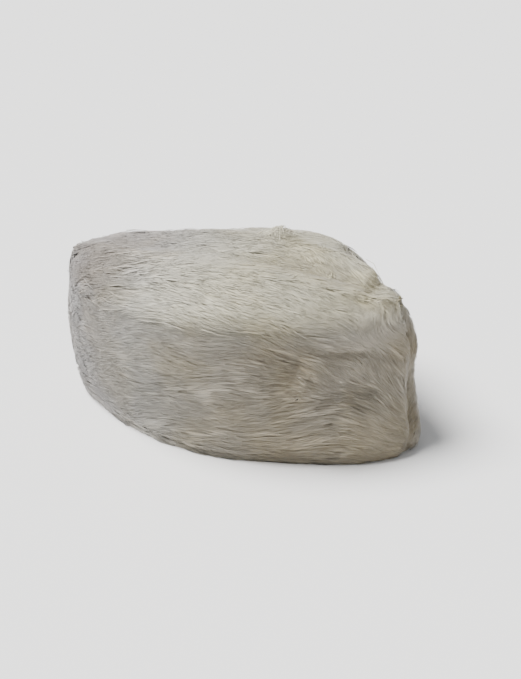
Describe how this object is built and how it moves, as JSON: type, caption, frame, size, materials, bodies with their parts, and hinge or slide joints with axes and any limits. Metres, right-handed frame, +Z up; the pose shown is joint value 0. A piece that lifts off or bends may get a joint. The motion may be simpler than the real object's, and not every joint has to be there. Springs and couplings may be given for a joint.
{
  "type": "gandhi cap of deep cream faux fur",
  "caption": "Deep-pile faux fur side cap in the folded boat shape, with a creased crown, seams at front and back, and an open head cavity under the rim.",
  "frame": {"origin": "centre of the cap's outline on the plane that its rim rests on", "axes": "+X towards the front seam along the cap's length, +Y to the wearer's left, +Z up out of the crown"},
  "size_m": [0.2626, 0.1757, 0.1215],
  "materials": {
    "cream_fur": "long lying pile, cream white, soft sheen",
    "crown_fur": "long lying pile, cream white, soft sheen"
  },
  "bodies": {
    "root": {"side_panel_right": "cream_fur", "side_panel_left": "cream_fur", "crown_panel": "crown_fur"}
  },
  "joints": []
}
